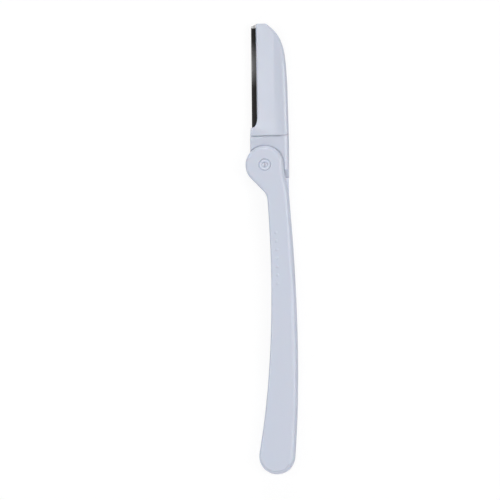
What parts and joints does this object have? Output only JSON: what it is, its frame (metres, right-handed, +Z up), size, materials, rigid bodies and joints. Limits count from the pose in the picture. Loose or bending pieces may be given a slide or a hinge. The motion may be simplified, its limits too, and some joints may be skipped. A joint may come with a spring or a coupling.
{
  "type": "folding eyebrow razor",
  "caption": "Folding razor for trimming eyebrows: a slim curved plastic handle with a blade slot and a swing-out head that holds a straight steel blade.",
  "frame": {"origin": "bottom centre of the open razor's bounding box as it lies on its back face", "axes": "+Y towards the head's tip, +Z up through the handle's thickness and parallel to the pivot axis, +X towards the razor's spine, with the cutting edge facing -X"},
  "size_m": [0.0186, 0.1598, 0.007],
  "materials": {
    "handle_plastic": "smooth satin-gloss moulded plastic, pale lavender grey",
    "pivot_plastic": "smooth satin-gloss moulded plastic, pale lavender grey",
    "head_plastic": "smooth satin-gloss moulded plastic, pale lavender grey",
    "blade_steel": "finely ground steel strip with a honed edge"
  },
  "bodies": {
    "handle": {"handle_front_shell": "handle_plastic", "handle_back_shell": "handle_plastic", "pivot_bush": "pivot_plastic", "pivot_pin": "pivot_plastic"},
    "arm": {"swing_arm": "head_plastic"},
    "cartridge": {"cartridge_front_cover": "head_plastic", "cartridge_back_cover": "head_plastic", "blade": "blade_steel"}
  },
  "joints": [
    {"name": "head_fold", "type": "hinge", "parent": "handle", "child": "arm", "pos_m": [-0.00254, 0.02975, 0.0034], "axis": [0, 0, 1], "range_deg": [0, 184]},
    {"name": "cartridge_slide", "type": "slide", "parent": "arm", "child": "cartridge", "axis": [0, 1, 0], "range_m": [0, 0.012]}
  ]
}
